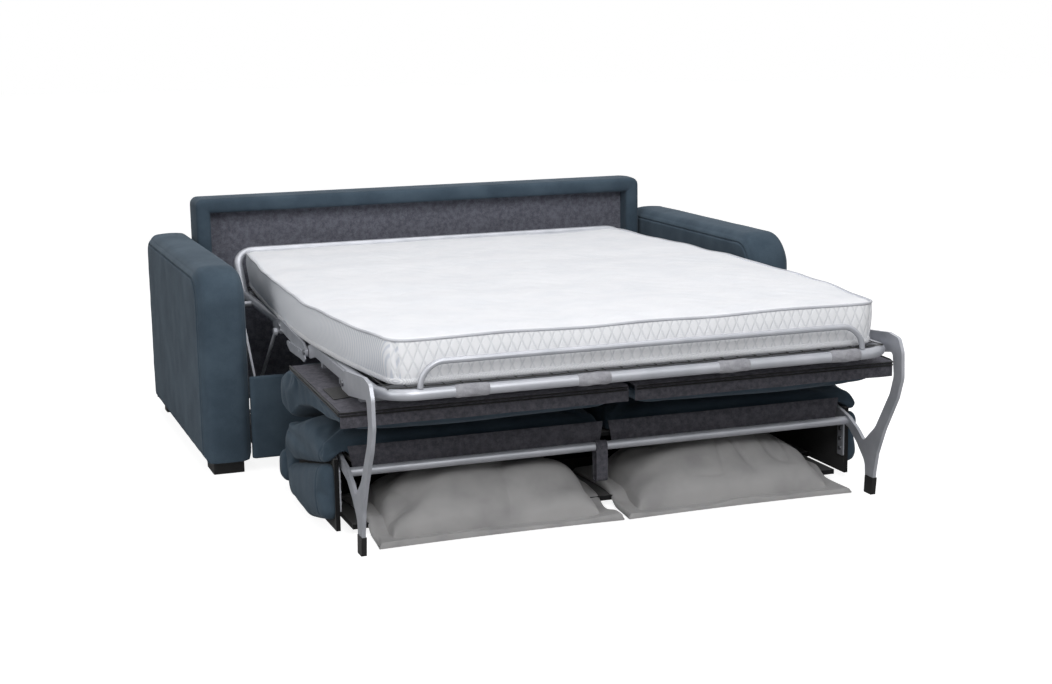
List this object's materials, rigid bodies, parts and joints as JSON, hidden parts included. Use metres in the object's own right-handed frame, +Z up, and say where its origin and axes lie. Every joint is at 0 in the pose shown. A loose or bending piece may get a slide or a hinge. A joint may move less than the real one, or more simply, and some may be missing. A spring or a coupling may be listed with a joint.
{
  "type": "sleeper sofa",
  "caption": "Two-seat sleeper sofa shown open: tip-over metal bed frame with mattress, cushions folded under it and a pillow compartment.",
  "frame": {"origin": "on the floor, under the middle of the open sofa bed's outline", "axes": "+X across the width to the right, +Y from the foot of the bed to the back, +Z up"},
  "size_m": [2.017, 2.1776, 0.7635],
  "materials": {
    "microfibre": "slate-blue suede-like microfibre",
    "felt": "mottled dark grey needle felt",
    "board": "black spun cover over board",
    "black_lining": "black spun lining over board",
    "black_plastic": "satin black",
    "ticking": "white quilted knit",
    "black_net": "black coated welded net",
    "pillow_cotton": "off-white cotton",
    "zinc_steel": "zinc plated",
    "silver_paint": "silver-grey powder coat"
  },
  "bodies": {
    "sofa_base": {"right_arm": "microfibre", "left_arm": "microfibre", "arm_feet": "black_plastic", "back_surround": "microfibre", "back_board": "board", "back_lining": "felt", "front_rail": "microfibre", "cross_rail": "zinc_steel", "right_side_rail": "zinc_steel", "left_side_rail": "zinc_steel", "base_pins": "zinc_steel"},
    "front_links": {"front_lift_links": "silver_paint"},
    "rear_links": {"rear_lift_links": "silver_paint"},
    "head_section": {"head_frame": "silver_paint", "head_cross_tubes": "silver_paint", "right_head_plate": "silver_paint", "left_head_plate": "silver_paint", "lift_brackets": "silver_paint", "head_net": "black_net", "mattress_head": "ticking"},
    "stays": {"stay_rods": "silver_paint"},
    "middle_section": {"right_middle_plate": "silver_paint", "left_middle_plate": "silver_paint", "control_plates": "silver_paint", "middle_bars": "silver_paint", "middle_net": "black_net", "mattress_middle": "ticking", "hinge_pins": "zinc_steel"},
    "foot_section": {"foot_frame": "silver_paint", "foot_cross_tubes": "silver_paint", "right_foot_plate": "silver_paint", "left_foot_plate": "silver_paint", "foot_net": "black_net", "mattress_foot": "ticking", "retaining_bar": "silver_paint", "tube_wraps": "felt", "right_leg": "silver_paint", "left_leg": "silver_paint", "right_leg_cap": "black_plastic", "left_leg_cap": "black_plastic", "leg_bolts": "zinc_steel", "lower_tube": "silver_paint", "pull_strap": "felt", "seat_bearers": "silver_paint", "right_seat_board": "felt", "left_seat_board": "felt", "right_seat_cushion": "microfibre", "left_seat_cushion": "microfibre"},
    "backrest": {"pillow_box": "black_lining", "right_back_cushion": "microfibre", "left_back_cushion": "microfibre", "right_side_pad": "microfibre", "left_side_pad": "microfibre", "top_roll": "microfibre", "right_backrest_bracket": "silver_paint", "left_backrest_bracket": "silver_paint", "bracket_bolts": "zinc_steel"},
    "pillows": {"right_pillow": "pillow_cotton", "left_pillow": "pillow_cotton"}
  },
  "joints": [
    {"name": "front_link_swing", "type": "hinge", "parent": "sofa_base", "child": "front_links", "pos_m": [0, 0.2436, 0.13847], "axis": [-1, 0, 0], "range_deg": [0, 58.86]},
    {"name": "rear_link_swing", "type": "hinge", "parent": "sofa_base", "child": "rear_links", "pos_m": [0, 0.4636, 0.13847], "axis": [-1, 0, 0], "range_deg": [0, 58.86]},
    {"name": "head_section_hinge", "type": "hinge", "parent": "front_links", "child": "head_section", "pos_m": [0, 0.54, 0.45], "axis": [-1, 0, 0], "range_deg": [-58.86, 0]},
    {"name": "stay_swing", "type": "hinge", "parent": "head_section", "child": "stays", "pos_m": [0, 0.022, 0.441], "axis": [-1, 0, 0], "range_deg": [-36.02, 0]},
    {"name": "bed_fold", "type": "hinge", "parent": "head_section", "child": "middle_section", "pos_m": [0, 0.003, 0.462], "axis": [-1, 0, 0], "range_deg": [0, 104.81], "deforming": ["mattress_middle"]},
    {"name": "foot_section_hinge", "type": "hinge", "parent": "middle_section", "child": "foot_section", "pos_m": [0, -0.332, 0.438], "axis": [-1, 0, 0], "range_deg": [0, 75.2]},
    {"name": "backrest_hinge", "type": "hinge", "parent": "foot_section", "child": "backrest", "pos_m": [0, -0.68, 0.218], "axis": [-1, 0, 0], "range_deg": [0, 90.02]},
    {"name": "pillow_slide", "type": "slide", "parent": "backrest", "child": "pillows", "axis": [0, 1, 0], "range_m": [0, 0.1501], "deforming": ["right_pillow", "left_pillow"]}
  ],
  "couplings": [
    {"joint": "front_link_swing", "follows": "bed_fold", "ratio": 0.56141},
    {"joint": "rear_link_swing", "follows": "bed_fold", "ratio": 0.56141},
    {"joint": "head_section_hinge", "follows": "bed_fold", "ratio": -0.56141},
    {"joint": "stay_swing", "follows": "bed_fold", "ratio": -0.34346},
    {"joint": "foot_section_hinge", "follows": "bed_fold", "ratio": 0.71731},
    {"joint": "backrest_hinge", "follows": "bed_fold", "ratio": 0.85866},
    {"joint": "pillow_slide", "follows": "bed_fold", "m_per_rad": 0.081996}
  ]
}
